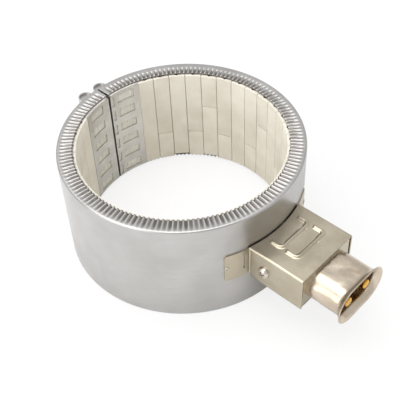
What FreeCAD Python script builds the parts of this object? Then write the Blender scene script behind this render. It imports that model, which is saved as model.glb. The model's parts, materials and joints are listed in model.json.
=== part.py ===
# Ceramic band heater with a terminal box and a two-pin plug socket.
# Origin: the middle of the bore. +Z runs along the bore.
# The gap is on +Y and the terminal box on -Y.
import FreeCAD, Part
import math
import os

# Band: tiles, blanket and sheath, one outside the other
bore_diameter = 130.0
tile_thickness = 7.5
blanket_thickness = 4.0
sheath_sheet = 0.5
band_height = 75.0
fold_radius = 1.2
gap_width = 1.5

# Pleated edges of the sheath
flange_setback = 1.6
pleat_count = 148
pleat_depth = 1.0
smooth_rim = 0.8
groove_share = 0.5
first_pleat_angle = 2.4
flange_end_angle = 0.4

# Ceramic tiles, standing in columns round the bore
tile_end_inset = 1.55
column_count = 34
column_gap = 0.28
lower_joint = 24.3
upper_joint = 47.6
tile_joint = 0.3
joint_pattern = ("none", "lower", "none", "lower", "upper", "lower", "none", "lower", "upper")
coil_diameter = 5.0
coil_hole_diameter = 5.2
coil_hole_setback = 4.0
link_notch_depth = 3.2
link_notch_width = 4.4
link_height = 2.6
link_width = 2.6
lead_thickness = 2.0

# Folded end plates beside the gap, with ceramic beads behind their windows
plate_sheet = 0.8
plate_half_angle = 20.4
plate_end_gap = 0.1
window_rows = 6
window_margin = 2.2
window_height = 6.3
window_start_angle = 5.8
window_end_angle = 16.8
bend_slot_height = 7.6
bend_slot_width = 2.6
beads_per_window = 3
bead_width = 2.2
bead_setback = 0.2
bead_end_gap = 0.3

# Clamp across the gap
lug_sheet = 0.8
lug_eye_diameter = 9.5
lug_eye_offset = 6.5
lug_inset = 5.0
lug_angle = 26.0
curl_slit = 0.7
bar_inset = 1.5
bar_clearance = 0.05
screw_diameter = 5.0
screw_length = 26.0
screw_head_diameter = 8.5
screw_head_height = 5.0
hex_key_size = 4.0
hex_key_depth = 2.6
screw_pitch = 34.0
screw_clearance = 0.05
eye_hole_diameter = 6.2
washer_diameter = 8.7
washer_thickness = 1.0

# Terminal box
box_sheet = 0.8
box_width = 47.0
box_height = 24.4
box_drop = 11.5
box_length = 36.2
cover_overhang = 0.5
cover_clearance = 0.1
cover_edge_gap = 0.7
end_wall_drop = 1.2
tab_length = 15.1
tab_inset = 1.2
tab_top_inset = 0.3
tab_corner_radius = 2.0
tab_bend_radius = 1.6
slit_setback = 2.6
slit_width = 1.0
slit_rise = 7.7
slit_head_gap = 3.0
rivet_setback = 13.5
lead_rise = 12.0
rivet_diameter = 2.4
rivet_head_diameter = 3.2
rivet_head_height = 0.4
rib_setback = 13.9
rib_spacing = 11.5
rib_length = 25.4
rib_arm = 4.5
rib_corner = 2.5
rib_height = 1.0
rib_centre = 1.5
cover_screw_diameter = 4.0
cover_screw_head = 8.0
cover_screw_head_height = 2.6
cover_screw_length = 7.0
cover_screw_setback = 9.0
cover_screw_rise = 11.3
cross_width = 1.0
cross_span = 4.4
cross_depth = 1.6
lead_opening_width = 26.0
lead_opening_height = 8.0

# Plug socket
socket_width = 36.0
socket_height = 20.0
socket_sheet = 0.8
socket_length = 24.3
flare_length = 4.0
flare_spread = 3.4
flare_break = 0.6
flare_start = 0.35
socket_flange = 2.5
insulator_front = 8.0
insulator_back = 9.0
insulator_clearance = 0.1
pin_diameter = 6.0
pin_spacing = 17.0
pin_setback = 1.5
pin_chamfer = 0.8
collar_diameter = 8.0
collar_thickness = 1.2
pin_shank_diameter = 5.0
pin_tail = 8.0
pin_tail_diameter = 4.0
nut_size = 7.0
nut_height = 3.2

# Worked out from the sizes above
bore_radius = bore_diameter / 2
tile_back = bore_radius + tile_thickness
sheath_inner = tile_back + blanket_thickness
sheath_radius = sheath_inner + sheath_sheet
tile_bottom = tile_end_inset
tile_top = band_height - tile_end_inset
column_pitch = (360 - 2 * plate_half_angle) / column_count
coil_radius = bore_radius + coil_hole_setback
half_gap = gap_width / 2
mid_height = band_height / 2
window_span = tile_top - tile_bottom - 2 * window_margin - window_height
box_bottom = mid_height - box_drop
box_top = box_bottom + box_height
box_reach = sheath_radius + box_length
half_box = box_width / 2
wall_face = half_box - box_sheet - cover_clearance
box_angle = math.degrees(math.asin(half_box / sheath_radius))
tab_end_angle = box_angle + math.degrees(tab_length / sheath_radius)
rivet_angle = box_angle + math.degrees(rivet_setback / sheath_radius)
slit_angle = box_angle + math.degrees(slit_setback / sheath_radius)
lead_level = box_bottom + lead_rise
cover_screw_reach = sheath_radius + cover_screw_setback
cover_screw_height = box_bottom + cover_screw_rise
socket_centre = box_bottom + box_sheet + socket_height / 2
socket_mouth = box_reach + socket_length
eye_radius = lug_eye_diameter / 2
eye_reach = math.sqrt((sheath_radius + eye_radius) ** 2 - lug_eye_offset ** 2)
lug_height = band_height - 2 * lug_inset
bar_radius = eye_radius - lug_sheet - bar_clearance
screw_heights = (mid_height - screw_pitch / 2, mid_height + screw_pitch / 2)
screw_seat = lug_eye_offset + eye_radius + washer_thickness
lead_radius = (tile_back + sheath_inner) / 2
pin_back = box_reach - insulator_back
insulator_face = box_reach + insulator_front
gap_axis = 90.0
box_axis = -90.0


def vec(x, y, z):
    return FreeCAD.Vector(x, y, z)


def polar(radius, angle, z):
    turn = math.radians(angle)
    return vec(radius * math.cos(turn), radius * math.sin(turn), z)


def block(low, high):
    size = vec(*high) - vec(*low)
    return Part.makeBox(size.x, size.y, size.z, vec(*low))


def polygon(points):
    return Part.Face(Part.makePolygon(points + points[:1]))


def round_bar(diameter, start, along):
    return Part.makeCylinder(diameter / 2, along.Length, start, along)


def hex_bar(across_flats, start, along, turn=0.0):
    corner = across_flats / 2 / math.cos(math.pi / 6)
    points = [polar(corner, turn + 60 * i, 0) for i in range(6)]
    bar = polygon(points).extrude(vec(0, 0, along.Length))
    bar.Placement = FreeCAD.Placement(start, FreeCAD.Rotation(vec(0, 0, 1), along))
    return bar


def flat_bar(start, end, width, height):
    """Straight bar of rectangular section between two points at one height."""
    along = end - start
    side = vec(-along.y, along.x, 0).normalize() * (width / 2)
    foot = vec(0, 0, -height / 2)
    points = [start + side + foot, end + side + foot, end - side + foot, start - side + foot]
    return polygon(points).extrude(vec(0, 0, height))


def ring_segment(inner, outer, bottom, top, start, end):
    """Part of a round wall, between two angles in degrees about the bore axis."""
    angles = (start, (start + end) / 2, end)
    near = [polar(inner, a, bottom) for a in angles]
    far = [polar(outer, a, bottom) for a in angles]
    edges = [
        Part.Arc(*near).toShape(), Part.makeLine(near[-1], far[-1]),
        Part.Arc(*far).toShape(), Part.makeLine(far[0], near[0]),
    ]
    return Part.Face(Part.Wire(edges)).extrude(vec(0, 0, top - bottom))


def ring(inner, outer, bottom, top):
    wall = Part.makeCylinder(outer, top - bottom, vec(0, 0, bottom))
    return wall.cut(Part.makeCylinder(inner, top - bottom, vec(0, 0, bottom)))


def mirror_x(shape):
    return shape.mirror(vec(0, 0, 0), vec(1, 0, 0))


def export(name, *solids):
    """Pieces are drawn up from the band's lower edge, then lowered to centre the bore on the origin."""
    shape = solids[0] if len(solids) == 1 else Part.Compound(list(solids))
    shape.translate(vec(0, 0, -mid_height))
    shape.exportStep("parts/" + name + ".step")


def fold_section():
    """Section of the sheath's wall, up to the end of the fold at both edges."""
    r, h, t, f = sheath_radius, band_height, sheath_sheet, fold_radius
    bend = math.sqrt(0.5)

    def at(radius, height):
        return vec(radius, 0, height)

    def arc(start, centre_z, radius, rise, end):
        middle = at(r - f + radius * bend, centre_z + rise * radius * bend)
        return Part.Arc(start, middle, end).toShape()

    outer_low = arc(at(r - f, 0), f, f, -1, at(r, f))
    outer_high = arc(at(r, h - f), h - f, f, 1, at(r - f, h))
    inner_high = arc(at(r - f, h - t), h - f, f - t, 1, at(r - t, h - f))
    inner_low = arc(at(r - t, f), f, f - t, -1, at(r - f, t))
    edges = [
        outer_low, Part.makeLine(at(r, f), at(r, h - f)), outer_high,
        Part.makeLine(at(r - f, h), at(r - f, h - t)),
        inner_high, Part.makeLine(at(r - t, h - f), at(r - t, f)), inner_low,
        Part.makeLine(at(r - f, t), at(r - f, 0)),
    ]
    return Part.Face(Part.Wire(Part.__sortEdges__(edges)))


def pleated_flange():
    """Upper edge of the sheath, folded inwards, with its spare metal pressed into pleats."""
    fold_end = sheath_radius - fold_radius
    outer = fold_end - smooth_rim
    inner = bore_radius + flange_setback
    top = band_height
    pitch = (360 - 2 * first_pleat_angle) / pleat_count
    half_groove = pitch * groove_share / 2
    first = gap_axis + flange_end_angle
    last = gap_axis + 360 - flange_end_angle
    centres = [gap_axis + first_pleat_angle + pitch * (i + 0.5) for i in range(pleat_count)]
    drop = vec(0, 0, -sheath_sheet)

    rim = [polar(outer, first, top)] + [polar(outer, c, top) for c in centres] + [polar(outer, last, top)]
    starts = [polar(inner, first, top)] + [polar(inner, c + half_groove, top) for c in centres]
    ends = [polar(inner, c - half_groove, top) for c in centres] + [polar(inner, last, top)]
    valleys = [polar(inner, c, top - pleat_depth) for c in centres]

    edge = Part.Wire(Part.makeCircle(fold_end, vec(0, 0, top)))
    smooth = Part.makeFace([edge, Part.makePolygon(rim + rim[:1])], "Part::FaceMakerBullseye")
    faces = [smooth, smooth.translated(drop), edge.extrude(drop).Faces[0]]
    for i in range(pleat_count + 1):
        rib = [rim[i], starts[i], ends[i], rim[i + 1]]
        faces += [polygon(rib), polygon([p + drop for p in rib])]
        faces.append(polygon([starts[i], ends[i], ends[i] + drop, starts[i] + drop]))
    for i in range(pleat_count):
        for side in (ends[i], starts[i + 1]):
            wall = [rim[i + 1], side, valleys[i]]
            faces += [polygon(wall), polygon([p + drop for p in wall])]
            faces.append(polygon([side, valleys[i], valleys[i] + drop, side + drop]))
    for a, b in ((rim[0], starts[0]), (rim[-1], ends[-1]), (rim[-1], rim[0])):
        faces.append(polygon([a, b, b + drop, a + drop]))
    flange = Part.Solid(Part.Shell(faces))
    if flange.Volume < 0:
        flange.reverse()
    return flange


def lead_opening(start, end):
    """Space for the leads, from one reach to another along the terminal box."""
    half = lead_opening_width / 2
    low = lead_level - lead_opening_height / 2
    return block((-half, -end, low), (half, -start, low + lead_opening_height))


def outer_sheath():
    wall = fold_section().revolve(vec(0, 0, 0), vec(0, 0, 1), 360)
    upper = pleated_flange()
    lower = upper.mirror(vec(0, 0, mid_height), vec(0, 0, 1))
    sheath = wall.fuse([upper, lower])
    gap = block((-half_gap, 0, -1), (half_gap, sheath_radius + 1, band_height + 1))
    return sheath.cut([gap, lead_opening(0, sheath_radius + 1)] + rivet_shanks())


def insulation_blanket():
    start = gap_axis + plate_half_angle
    end = start + column_count * column_pitch
    blanket = ring_segment(tile_back, sheath_inner, tile_bottom, tile_top, start, end)
    half = lead_thickness / 2
    groove = ring(lead_radius - half, sheath_inner, lead_level - half, lead_level + half)
    low = lead_level - lead_opening_height / 2
    outside = ring(lead_radius - half, sheath_radius, low, low + lead_opening_height)
    return blanket.cut([groove, lead_opening(lead_radius / 2, sheath_radius).common(outside)])


def column_angle(index):
    """Columns are counted clockwise from the end plate on the +X side."""
    return gap_axis - plate_half_angle - column_pitch * (index + 0.5)


def link_notch_levels():
    """Heights of the recesses in the ceramics' ends, where the coil crosses to its neighbour."""
    return [(tile_bottom - 1, tile_bottom + link_notch_depth), (tile_top - link_notch_depth, tile_top + 1)]


def tile_column(index):
    middle = column_angle(index)
    half = column_pitch / 2 - math.degrees(column_gap / 2 / bore_radius)
    joint = {"lower": [lower_joint], "upper": [upper_joint], "none": []}
    levels = joint[joint_pattern[index % len(joint_pattern)]]
    feet = [tile_bottom] + [z + tile_joint / 2 for z in levels]
    heads = [z - tile_joint / 2 for z in levels] + [tile_top]
    hole = hex_bar(coil_hole_diameter, polar(coil_radius, middle, 0), vec(0, 0, band_height), middle)
    cuts = [hole]
    inner = coil_radius - link_notch_width / 2
    outer = coil_radius + link_notch_width / 2
    half_width = tile_back * math.tan(math.radians(column_pitch / 2))
    for low, high in link_notch_levels():
        notch = block((inner, -half_width, low), (outer, half_width, high))
        notch.rotate(vec(0, 0, 0), vec(0, 0, 1), middle)
        cuts.append(notch)
    tiles = []
    for low, high in zip(feet, heads):
        tile = ring_segment(bore_radius, tile_back, low, high, middle - half, middle + half)
        tiles += tile.cut(cuts).Solids
    return tiles


def heating_coil():
    """One resistance coil, up one column and down the next, kept at its outer size."""
    low = tile_bottom + link_height / 2
    high = tile_top - link_height / 2
    runs = []
    for i in range(column_count):
        foot = polar(coil_radius, column_angle(i), low - link_height / 2)
        runs.append(hex_bar(coil_diameter, foot, vec(0, 0, high - low + link_height), column_angle(i)))
    for i in range(column_count - 1):
        z = low if i % 2 == 0 else high
        start = polar(coil_radius, column_angle(i), z)
        end = polar(coil_radius, column_angle(i + 1), z)
        runs.append(flat_bar(start, end, link_width, link_height))
    for i, side in ((0, 1), (column_count - 1, -1)):
        start = polar(coil_radius, column_angle(i), high)
        end = polar(coil_radius, gap_axis - side * plate_half_angle / 2, high)
        runs.append(flat_bar(start, end, link_width, link_height))
    return runs[0].fuse(runs[1:]).removeSplitter()


def lead_wire(side, coil):
    """Sleeved lead from the coil's end, round the blanket and out to a contact pin."""
    half = lead_thickness / 2
    reach = pin_spacing / 2
    exit_angle = box_axis + math.degrees(math.asin(reach / lead_radius))
    top = tile_top - link_height / 2
    start = gap_axis - plate_half_angle / 2
    half_width = math.degrees(half / lead_radius)
    inner, outer = lead_radius - half, lead_radius + half
    low = lead_level - half
    rise = ring_segment(inner, outer, low, top + half, start - half_width, start + half_width)
    coil_end, lead_start = polar(coil_radius, start, top), polar(lead_radius, start, top)
    bridge = flat_bar(coil_end, lead_start, lead_thickness, lead_thickness)
    turn = ring_segment(inner, outer, low, lead_level + half, exit_angle, start)
    bend = -math.sqrt(lead_radius ** 2 - reach ** 2)
    levels = sorted((socket_centre, lead_level))
    out = block((reach - half, -pin_back + pin_tail, levels[0] - half),
                (reach + half, bend, levels[1] + half))
    lead = rise.fuse([bridge, turn, out]).removeSplitter()
    return (lead if side > 0 else mirror_x(lead)).cut(coil)


def window_levels():
    return [mid_height + window_span * (i / (window_rows - 1) - 0.5) for i in range(window_rows)]


def end_plate(side):
    """Folded plate: a curved face on the bore and a wall along the gap, slotted at its bend on +X."""
    inside, outside = bore_radius - 1, bore_radius + plate_sheet + 1
    start = gap_axis - plate_half_angle + plate_end_gap
    face = ring_segment(bore_radius, bore_radius + plate_sheet, tile_bottom, tile_top, start, gap_axis)
    face = face.cut(block((-1, 0, 0), (half_gap, outside, band_height)))
    wall = block((half_gap, inside, tile_bottom), (half_gap + plate_sheet, sheath_radius, tile_top))
    wall = wall.common(ring(bore_radius, sheath_inner, tile_bottom, tile_top))
    plate = face.fuse(wall)
    cuts = []
    for z in window_levels():
        low, high = z - window_height / 2, z + window_height / 2
        cuts.append(ring_segment(inside, outside, low, high,
                                 gap_axis - window_end_angle, gap_axis - window_start_angle))
        if side > 0:
            low, high = z - bend_slot_height / 2, z + bend_slot_height / 2
            cuts.append(block((0, inside - 1, low),
                              (half_gap + bend_slot_width, bore_radius + plate_sheet, high)))
    plate = plate.cut(cuts).removeSplitter()
    return plate if side > 0 else mirror_x(plate)


def end_ceramic(side):
    """Ceramic block behind an end plate, with a row of beads showing in each window."""
    start = gap_axis - plate_half_angle + plate_end_gap
    ceramic = ring_segment(bore_radius + plate_sheet, tile_back, tile_bottom, tile_top, start, gap_axis)
    cuts = [block((-1, 0, 0), (half_gap + plate_sheet, tile_back + 1, band_height))]
    recess = coil_radius - link_notch_width / 2
    for low, high in link_notch_levels():
        cuts.append(ring_segment(recess, tile_back + 1, low, high, start - 1, gap_axis + 1))
    spacing = (window_end_angle - window_start_angle) / beads_per_window
    bead_radius = bead_width / 2
    bead_corner = bead_radius / math.cos(math.pi / 6)
    beads = []
    for z in window_levels():
        low = z - window_height / 2 + bead_end_gap
        high = z + window_height / 2 - bead_end_gap
        for i in range(beads_per_window):
            angle = gap_axis - window_start_angle - spacing * (i + 0.5)
            foot = polar(bore_radius + bead_setback + bead_corner, angle, low)
            beads.append(hex_bar(bead_width, foot, vec(0, 0, high - low), angle))
    ceramic = ceramic.fuse(beads).cut(cuts)
    return ceramic if side > 0 else mirror_x(ceramic)


def screw_line(diameter, start, end, z):
    return round_bar(diameter, vec(start, eye_reach, z), vec(end - start, 0, 0))


def clamp_lug(side):
    """Strap laid on the sheath, its end rolled outwards into an eye."""
    low = mid_height - lug_height / 2
    centre = vec(lug_eye_offset, eye_reach, low)
    eye = Part.makeCylinder(eye_radius, lug_height, centre)
    eye = eye.cut(Part.makeCylinder(eye_radius - lug_sheet, lug_height, centre))
    eye_angle = math.degrees(math.atan2(eye_reach, lug_eye_offset))
    strap_top = sheath_radius + lug_sheet
    root = polar(strap_top, eye_angle, low)
    slit = block((root.x - curl_slit - 1, root.y - 2 * lug_sheet, low),
                 (root.x - 1, root.y + 1.5 * lug_sheet, low + lug_height))
    strap = ring_segment(sheath_radius, strap_top, low, low + lug_height, gap_axis - lug_angle, eye_angle)
    holes = [screw_line(eye_hole_diameter, 0, screw_seat, z) for z in screw_heights]
    lug = eye.cut([slit] + holes).fuse(strap).removeSplitter()
    return lug if side > 0 else mirror_x(lug)


def clamp_bar(side):
    """Round bar inside an eye, drilled across for the two clamp screws."""
    length = lug_height - 2 * bar_inset
    foot = vec(lug_eye_offset, eye_reach, mid_height - length / 2)
    bar = Part.makeCylinder(bar_radius, length, foot)
    drill = screw_diameter + 2 * screw_clearance
    bar = bar.cut([screw_line(drill, 0, 2 * lug_eye_offset, z) for z in screw_heights])
    return bar if side > 0 else mirror_x(bar)


def clamp_screw(z):
    """Socket-head screw, its head on the -X side."""
    shank = screw_line(screw_diameter, -screw_seat, -screw_seat + screw_length, z)
    head = screw_line(screw_head_diameter, -screw_seat - screw_head_height, -screw_seat, z)
    key_start = vec(-screw_seat - screw_head_height, eye_reach, z)
    key = hex_bar(hex_key_size, key_start, vec(hex_key_depth, 0, 0))
    return head.fuse(shank).removeSplitter().cut(key)


def clamp_washer(z):
    outer = screw_line(washer_diameter, -screw_seat, -screw_seat + washer_thickness, z)
    return outer.cut(screw_line(screw_diameter + 2 * screw_clearance, -screw_seat, 0, z))


def rivet_shanks():
    shanks = []
    for side in (-1, 1):
        foot = polar(sheath_inner, box_axis + side * rivet_angle, lead_level)
        along = polar(sheath_sheet + box_sheet, box_axis + side * rivet_angle, 0)
        shanks.append(round_bar(rivet_diameter, foot, along))
    return shanks


def tab_rivets():
    rivets = []
    for side, shank in zip((-1, 1), rivet_shanks()):
        foot = polar(sheath_radius + box_sheet, box_axis + side * rivet_angle, lead_level)
        along = polar(rivet_head_height, box_axis + side * rivet_angle, 0)
        rivets.append(round_bar(rivet_head_diameter, foot, along).fuse(shank).removeSplitter())
    return rivets


def rounded_patch(width, height, corner):
    """Plate across the X axis, ending at Y = 0 with two rounded corners."""
    patch = block((-width / 2, -width, 0), (width / 2, 0, height))
    edges = [e for e in patch.Edges if e.BoundBox.YMin > -1e-3 and e.BoundBox.XLength > 1]
    return patch.makeFillet(corner, edges)


def box_side(side):
    """Side wall of the box, bent outwards into a tab that lies on the sheath."""
    t = box_sheet
    middle = wall_face - t / 2
    tab_middle = sheath_radius + t / 2
    bend_x = middle + tab_bend_radius
    bend_y = -math.sqrt((tab_middle + tab_bend_radius) ** 2 - bend_x ** 2)
    top = box_top - t - cover_clearance
    wall = block((middle - t / 2, -box_reach, box_bottom), (middle + t / 2, bend_y, top))
    low, high = box_bottom + tab_inset, top - tab_top_inset
    start = math.degrees(math.atan2(bend_y, bend_x))
    bend = ring_segment(tab_bend_radius - t / 2, tab_bend_radius + t / 2, low, high, start + 180, 180)
    bend.translate(vec(bend_x, bend_y, 0))
    tab_end = box_axis + tab_end_angle
    tab = ring_segment(sheath_radius, sheath_radius + t, low, high, start, tab_end)
    patch = rounded_patch(tab_length + tab_bend_radius + t, high - low, tab_corner_radius)
    patch.rotate(vec(0, 0, 0), vec(0, 0, 1), tab_end)
    patch.translate(polar(sheath_radius + t, tab_end, low))
    half_slit = math.degrees(slit_width / 2 / sheath_radius)
    slit_middle = box_axis + slit_angle
    slit_low, slit_high = box_bottom + slit_rise, box_top - slit_head_gap
    slit = ring_segment(sheath_radius - t, sheath_radius + 2 * t, slit_low, slit_high,
                        slit_middle - half_slit, slit_middle + half_slit)
    tab = tab.common(patch).cut([slit] + rivet_shanks())
    shape = wall.fuse([bend, tab]).removeSplitter()
    return shape if side > 0 else mirror_x(shape)


def stadium(width, height, reach):
    """Closed oval wire with straight long sides, facing -Y, centred on the socket."""
    r = height / 2
    half = width / 2 - r
    z = socket_centre
    y = -reach
    right = Part.Arc(vec(half, y, z - r), vec(half + r, y, z), vec(half, y, z + r)).toShape()
    left = Part.Arc(vec(-half, y, z + r), vec(-half - r, y, z), vec(-half, y, z - r)).toShape()
    top = Part.makeLine(vec(half, y, z + r), vec(-half, y, z + r))
    bottom = Part.makeLine(vec(-half, y, z - r), vec(half, y, z - r))
    return Part.Wire([right, top, left, bottom])


def oval_bar(inset, start, end):
    face = Part.Face(stadium(socket_width - 2 * inset, socket_height - 2 * inset, start))
    return face.extrude(vec(0, start - end, 0))


def oval_horn(inset):
    """Straight oval tube with a mouth that opens out in two steps."""
    straight = socket_mouth - flare_length
    steps = ((box_reach - box_sheet, 0), (straight, 0),
             (straight + flare_length * flare_break, flare_start), (socket_mouth, 1))
    wires = []
    for reach, share in steps:
        spread = 2 * (flare_spread * share - inset)
        wires.append(stadium(socket_width + spread, socket_height + spread, reach))
    return Part.makeLoft(wires, True, True)


def socket_shell():
    shell = oval_horn(0).cut(oval_horn(socket_sheet))
    back = box_reach - box_sheet
    width = socket_width / 2 + socket_flange
    plate = block((-width, -back, box_bottom + box_sheet),
                  (width, -back + socket_sheet, box_bottom + box_sheet + socket_height))
    plate = plate.cut(oval_bar(socket_sheet, back + 1, back - 2))
    return shell.fuse(plate).removeSplitter()


def pin_places():
    return (-pin_spacing / 2, pin_spacing / 2)


def pin_bar(x, diameter, start, end):
    """Round bar on a pin's axis, between two reaches along the terminal box."""
    return round_bar(diameter, vec(x, -start, socket_centre), vec(0, start - end, 0))


def socket_insulator():
    body = oval_bar(socket_sheet + insulator_clearance, insulator_face, pin_back)
    return body.cut([pin_bar(x, pin_shank_diameter, insulator_face, pin_back) for x in pin_places()])


def contact_pin(x):
    """Pin with a collar on the insulator's face, a shank through it and a threaded tail."""
    tip = socket_mouth - pin_setback
    collar_face = insulator_face + collar_thickness
    front = pin_bar(x, pin_diameter, collar_face, tip)
    rim = [e for e in front.Edges if abs(e.BoundBox.YMin + tip) < 1e-3 and e.BoundBox.YLength < 1e-3]
    collar = pin_bar(x, collar_diameter, insulator_face, collar_face)
    shank = pin_bar(x, pin_shank_diameter, pin_back, insulator_face)
    tail = pin_bar(x, pin_tail_diameter, pin_back - pin_tail, pin_back)
    return front.makeChamfer(pin_chamfer, rim).fuse([collar, shank, tail]).removeSplitter()


def pin_nuts():
    nuts = []
    for x in pin_places():
        start = vec(x, -pin_back, socket_centre)
        along = vec(0, nut_height, 0)
        nuts.append(hex_bar(nut_size, start, along).cut(round_bar(pin_tail_diameter, start, along)))
    return nuts


def cover_screw_bar(side, diameter, start, end):
    foot = vec(side * start, -cover_screw_reach, cover_screw_height)
    return round_bar(diameter, foot, vec(side * (end - start), 0, 0))


def cover_screws():
    """Cross-recess pan-head screws through the cover's skirts into the box walls."""
    face = half_box + cover_screw_head_height
    screws = []
    for side in (-1, 1):
        head = cover_screw_bar(side, cover_screw_head, half_box, face)
        rim = [e for e in head.Edges if abs(e.BoundBox.Center.x - side * face) < 1e-3]
        head = head.makeFillet(cover_screw_head_height / 2, rim)
        shank = cover_screw_bar(side, cover_screw_diameter, half_box - cover_screw_length, half_box)
        cuts = []
        for width, height in ((cross_span, cross_width), (cross_width, cross_span)):
            size = vec(cross_depth, width / 2, height / 2)
            centre = vec(side * face, -cover_screw_reach, cover_screw_height)
            cuts.append(block(tuple(centre - size), tuple(centre + size)))
        screws.append(head.fuse(shank).removeSplitter().cut(cuts))
    return screws


def cover_screw_holes():
    return [cover_screw_bar(side, cover_screw_diameter, 0, half_box) for side in (-1, 1)]


def box_body():
    t = box_sheet
    floor = block((-wall_face, -box_reach, box_bottom), (wall_face, 0, box_bottom + t))
    floor = floor.cut(Part.makeCylinder(sheath_radius, band_height))
    top = box_top - t - cover_clearance - end_wall_drop
    end = block((-wall_face, -box_reach, box_bottom), (wall_face, -box_reach + t, top))
    body = floor.fuse([end, box_side(1), box_side(-1)]).removeSplitter()
    return body.cut([oval_bar(0, box_reach + 1, box_reach - t)] + cover_screw_holes())


def cover_rib(reach):
    """Raised rib pressed in the cover: a straight run with both ends turned to the band."""
    left = rib_centre - rib_length / 2
    right = rib_centre + rib_length / 2
    c = rib_corner
    back = -reach + c + rib_arm
    z = box_top
    d = c * (1 - math.sqrt(0.5))
    front = -reach
    left_bend = [vec(left, front + c, z), vec(left + d, front + d, z), vec(left + c, front, z)]
    right_bend = [vec(right - c, front, z), vec(right - d, front + d, z), vec(right, front + c, z)]
    edges = [
        Part.makeLine(vec(left, back, z), left_bend[0]), Part.Arc(*left_bend).toShape(),
        Part.makeLine(left_bend[-1], right_bend[0]),
        Part.Arc(*right_bend).toShape(), Part.makeLine(right_bend[-1], vec(right, back, z)),
    ]
    half = rib_height
    foot = z - box_sheet / 2
    section = Part.Wire([
        Part.Arc(vec(left - half, back, z), vec(left, back, z + half), vec(left + half, back, z)).toShape(),
        Part.makeLine(vec(left + half, back, z), vec(left + half, back, foot)),
        Part.makeLine(vec(left + half, back, foot), vec(left - half, back, foot)),
        Part.makeLine(vec(left - half, back, foot), vec(left - half, back, z)),
    ])
    return Part.Wire(edges).makePipeShell([section], True, False)


def box_cover():
    """Top and two skirts, folded from one sheet, cut to the band's curve."""
    t = box_sheet
    front = -box_reach - cover_overhang
    outer = block((-half_box, front, box_bottom), (half_box, 0, box_top))
    edges = [e for e in outer.Edges if e.BoundBox.YLength > 1 and abs(e.BoundBox.ZMin - box_top) < 1e-6]
    outer = outer.makeFillet(fold_radius, edges)
    inside = block((-half_box + t, front - 1, box_bottom - 1), (half_box - t, 1, box_top - t))
    cover = outer.cut([inside, Part.makeCylinder(sheath_radius + cover_edge_gap, band_height)])
    skirt_end = -math.sqrt((sheath_radius + box_sheet + tab_bend_radius) ** 2 - half_box ** 2)
    cover = cover.cut(block((-half_box - 1, skirt_end, box_bottom - 1), (half_box + 1, 0, box_top - t)))
    first_rib = box_reach - rib_setback
    ribs = [cover_rib(first_rib), cover_rib(first_rib - rib_spacing)]
    return cover.fuse(ribs).removeSplitter().cut(cover_screw_holes())


os.makedirs("parts", exist_ok=True)
coil = heating_coil()
export("outer_sheath", outer_sheath())
export("insulation_blanket", insulation_blanket())
for index in range(column_count):
    export("tile_column_%02d" % (index + 1), *tile_column(index))
export("lead_wires", lead_wire(-1, coil), lead_wire(1, coil))
for side, word in ((-1, "left"), (1, "right")):
    export("end_plate_" + word, end_plate(side))
    export("end_ceramic_" + word, end_ceramic(side))
    export("clamp_lug_" + word, clamp_lug(side))
    export("clamp_bar_" + word, clamp_bar(side))
for x, word in zip(pin_places(), ("left", "right")):
    export("contact_pin_" + word, contact_pin(x))
for z, word in zip(screw_heights, ("lower", "upper")):
    export("clamp_screw_" + word, clamp_screw(z))
    export("clamp_washer_" + word, clamp_washer(z))
export("box_body", box_body())
export("box_cover", box_cover())
export("cover_screws", *cover_screws())
export("tab_rivets", *tab_rivets())
export("socket_shell", socket_shell())
export("socket_insulator", socket_insulator())
export("pin_nuts", *pin_nuts())
export("heating_coil", coil)
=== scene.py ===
import bpy
import bmesh
import json
import math
import random
from mathutils import Matrix, Vector, noise

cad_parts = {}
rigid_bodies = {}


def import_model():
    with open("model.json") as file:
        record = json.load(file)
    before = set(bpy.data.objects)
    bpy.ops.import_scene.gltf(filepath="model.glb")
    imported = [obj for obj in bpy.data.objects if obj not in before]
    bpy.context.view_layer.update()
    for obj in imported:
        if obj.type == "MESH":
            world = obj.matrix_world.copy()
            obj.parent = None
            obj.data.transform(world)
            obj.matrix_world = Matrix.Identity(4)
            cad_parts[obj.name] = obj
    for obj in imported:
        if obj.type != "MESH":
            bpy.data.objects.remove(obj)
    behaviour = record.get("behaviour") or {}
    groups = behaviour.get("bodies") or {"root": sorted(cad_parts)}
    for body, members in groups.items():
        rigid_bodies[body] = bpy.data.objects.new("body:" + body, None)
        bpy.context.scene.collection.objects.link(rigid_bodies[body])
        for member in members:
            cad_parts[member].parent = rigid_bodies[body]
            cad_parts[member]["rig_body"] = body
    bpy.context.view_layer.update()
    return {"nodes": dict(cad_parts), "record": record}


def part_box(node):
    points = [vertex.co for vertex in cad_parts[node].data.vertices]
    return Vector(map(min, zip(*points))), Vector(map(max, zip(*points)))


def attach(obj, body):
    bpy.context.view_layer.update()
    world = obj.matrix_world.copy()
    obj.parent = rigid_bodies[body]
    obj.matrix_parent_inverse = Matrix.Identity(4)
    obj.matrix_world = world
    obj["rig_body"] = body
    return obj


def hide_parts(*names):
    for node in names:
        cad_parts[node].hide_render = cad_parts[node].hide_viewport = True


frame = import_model()
print("frame loaded:", len(frame["nodes"]), "nodes")

mm = 0.001


def nodeBox(name):
    low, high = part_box(name)
    return low / mm, high / mm


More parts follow.
